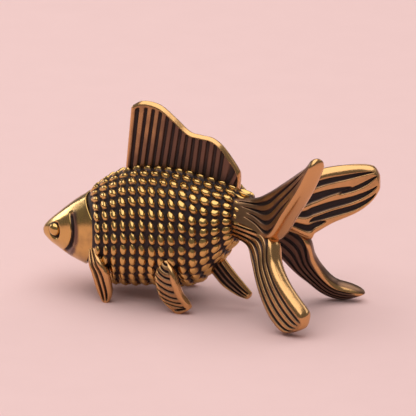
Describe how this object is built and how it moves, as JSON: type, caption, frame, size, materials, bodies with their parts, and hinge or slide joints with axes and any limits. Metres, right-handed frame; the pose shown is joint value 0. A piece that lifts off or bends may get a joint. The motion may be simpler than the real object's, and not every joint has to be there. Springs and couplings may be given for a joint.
{
  "type": "fish figurine",
  "caption": "Fan-tailed goldfish ornament in antique brass, with a scaled trunk, ribbed fins and a split tail, standing on its fin tips on a shelf or desk",
  "frame": {"origin": "on the floor, under the middle of the bounding box", "axes": "head toward -X, left side toward -Y, up +Z"},
  "size_m": [0.0456, 0.02, 0.027],
  "materials": {
    "antique_brass": "antiqued: dark patina between the scales, polished scale tops",
    "polished_brass": "polished with a thin brown patina",
    "eye_brass": "polished beads",
    "fin_brass": "antiqued: dark grooves, polished rays and rims",
    "tail_brass": "antiqued: dark grooves, polished ridges and edges"
  },
  "bodies": {
    "root": {"body": "antique_brass", "head": "polished_brass", "eye_left": "eye_brass", "eye_right": "eye_brass", "dorsal_fin": "fin_brass", "anal_fin": "fin_brass", "pectoral_fin_left": "fin_brass", "pectoral_fin_right": "fin_brass", "pelvic_fin_left": "fin_brass", "pelvic_fin_right": "fin_brass", "tail_lobe_upper_left": "tail_brass", "tail_lobe_lower_left": "tail_brass", "tail_lobe_upper_right": "tail_brass", "tail_lobe_lower_right": "tail_brass"}
  },
  "joints": []
}
